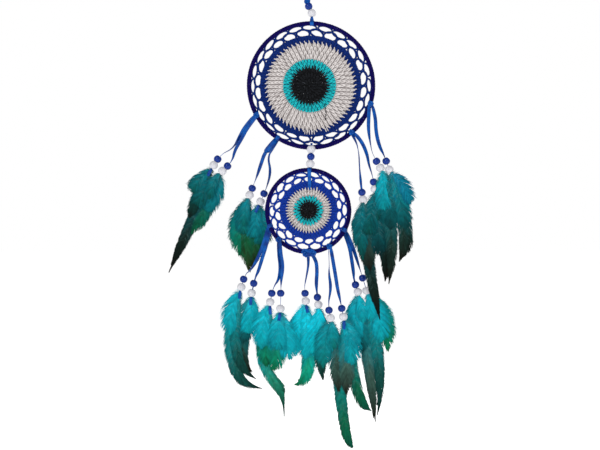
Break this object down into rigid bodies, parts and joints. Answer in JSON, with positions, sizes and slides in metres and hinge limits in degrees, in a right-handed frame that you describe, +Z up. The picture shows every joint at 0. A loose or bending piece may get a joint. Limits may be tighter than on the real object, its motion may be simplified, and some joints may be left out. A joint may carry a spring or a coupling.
{
  "type": "evil eye wall hanging",
  "caption": "Two cord-wrapped hoops holding crocheted eye discs, hung one under the other, with beaded ribbon tassels and long dyed feathers.",
  "frame": {"origin": "inside top of the ribbon loop that hangs on a nail", "axes": "+Z up along the hanging, front of the eyes towards -Y, +X to the right seen from the front"},
  "size_m": [0.2838, 0.0335, 0.5876],
  "materials": {
    "satin_ribbon": "royal blue satin ribbon, glossy",
    "blue_bead": "glossy royal blue",
    "white_bead": "glossy pearl white",
    "steel_ring": "plain steel wire",
    "velvet_wrap": "dark indigo suede cord, matte",
    "black_yarn": "matte cotton yarn",
    "turquoise_yarn": "matte cotton yarn",
    "white_yarn": "matte cotton yarn",
    "navy_yarn": "matte cotton yarn",
    "feather": "dyed turquoise rooster feather with dark tips"
  },
  "bodies": {
    "hanger": {"hanger_ribbon": "satin_ribbon", "hanger_blue_bead": "blue_bead", "hanger_white_bead": "white_bead"},
    "hanger_tie": {"hanger_tie": "satin_ribbon"},
    "large_hoop": {"large_hoop_ring": "steel_ring", "large_hoop_wrap": "velvet_wrap", "large_pupil": "black_yarn", "large_iris": "turquoise_yarn", "large_white_rounds": "white_yarn", "large_blue_round": "navy_yarn", "large_net": "navy_yarn", "large_ties": "satin_ribbon"},
    "small_hoop": {"small_hoop_ring": "steel_ring", "small_hoop_wrap": "velvet_wrap", "small_pupil": "black_yarn", "small_iris": "turquoise_yarn", "small_white_rounds": "white_yarn", "small_blue_round": "navy_yarn", "small_net": "navy_yarn", "small_ties": "satin_ribbon"},
    "link": {"link_ribbon": "satin_ribbon", "link_upper_white_bead": "white_bead", "link_blue_bead": "blue_bead", "link_lower_white_bead": "white_bead"},
    "outer_left": {"outer_left_ribbon": "satin_ribbon", "outer_left_blue_beads": "blue_bead", "outer_left_white_beads": "white_bead", "outer_left_feathers": "feather"},
    "inner_left": {"inner_left_ribbon": "satin_ribbon", "inner_left_blue_beads": "blue_bead", "inner_left_white_beads": "white_bead", "inner_left_feathers": "feather"},
    "inner_right": {"inner_right_ribbon": "satin_ribbon", "inner_right_blue_beads": "blue_bead", "inner_right_white_beads": "white_bead", "inner_right_feathers": "feather"},
    "outer_right": {"outer_right_ribbon": "satin_ribbon", "outer_right_blue_beads": "blue_bead", "outer_right_white_beads": "white_bead", "outer_right_feathers": "feather"},
    "low_far_left": {"low_far_left_ribbon": "satin_ribbon", "low_far_left_blue_beads": "blue_bead", "low_far_left_white_beads": "white_bead", "low_far_left_feathers": "feather"},
    "low_left": {"low_left_ribbon": "satin_ribbon", "low_left_blue_beads": "blue_bead", "low_left_white_beads": "white_bead", "low_left_feathers": "feather"},
    "low_middle": {"low_middle_ribbon": "satin_ribbon", "low_middle_blue_beads": "blue_bead", "low_middle_white_beads": "white_bead", "low_middle_feathers": "feather"},
    "low_right": {"low_right_ribbon": "satin_ribbon", "low_right_blue_beads": "blue_bead", "low_right_white_beads": "white_bead", "low_right_feathers": "feather"},
    "low_far_right": {"low_far_right_ribbon": "satin_ribbon", "low_far_right_blue_beads": "blue_bead", "low_far_right_white_beads": "white_bead", "low_far_right_feathers": "feather"}
  },
  "joints": [
    {"name": "hanger_twist", "type": "hinge", "parent": "hanger", "child": "hanger_tie", "pos_m": [0.001, 0, -0.0806], "axis": [0, 0, 1], "continuous": true},
    {"name": "large_hoop_swing", "type": "hinge", "parent": "hanger_tie", "child": "large_hoop", "pos_m": [0.001, 0, -0.09261], "axis": [1, 0, 0], "range_deg": [-25, 25]},
    {"name": "link_sway", "type": "hinge", "parent": "large_hoop", "child": "link", "pos_m": [0, 0, -0.2374], "axis": [0, -1, 0], "range_deg": [-12, 12]},
    {"name": "small_hoop_twist", "type": "hinge", "parent": "link", "child": "small_hoop", "pos_m": [-0.0015, 0, -0.2635], "axis": [0, 0, 1], "range_deg": [0, 90]},
    {"name": "outer_left_sway", "type": "hinge", "parent": "large_hoop", "child": "outer_left", "pos_m": [-0.06351, 0, -0.19977], "axis": [0, -1, 0], "range_deg": [-15, 30]},
    {"name": "inner_left_sway", "type": "hinge", "parent": "large_hoop", "child": "inner_left", "pos_m": [-0.03911, 0, -0.22593], "axis": [0, -1, 0], "range_deg": [-15, 20]},
    {"name": "inner_right_sway", "type": "hinge", "parent": "large_hoop", "child": "inner_right", "pos_m": [0.04731, 0, -0.21981], "axis": [0, -1, 0], "range_deg": [-12, 6]},
    {"name": "outer_right_sway", "type": "hinge", "parent": "large_hoop", "child": "outer_right", "pos_m": [0.06909, 0, -0.18665], "axis": [0, -1, 0], "range_deg": [-5, 20]},
    {"name": "low_far_left_sway", "type": "hinge", "parent": "small_hoop", "child": "low_far_left", "pos_m": [-0.04818, 0, -0.32841], "axis": [0, -1, 0], "range_deg": [-12, 15]},
    {"name": "low_left_sway", "type": "hinge", "parent": "small_hoop", "child": "low_left", "pos_m": [-0.03768, 0, -0.34485], "axis": [0, -1, 0], "range_deg": [-10, 10]},
    {"name": "low_middle_sway", "type": "hinge", "parent": "small_hoop", "child": "low_middle", "pos_m": [-0.00256, 0, -0.35929], "axis": [0, -1, 0], "range_deg": [-10, 10]},
    {"name": "low_right_sway", "type": "hinge", "parent": "small_hoop", "child": "low_right", "pos_m": [0.02113, 0, -0.35254], "axis": [0, -1, 0], "range_deg": [-10, 10]},
    {"name": "low_far_right_sway", "type": "hinge", "parent": "small_hoop", "child": "low_far_right", "pos_m": [0.03889, 0, -0.33389], "axis": [0, -1, 0], "range_deg": [-12, 12]}
  ]
}
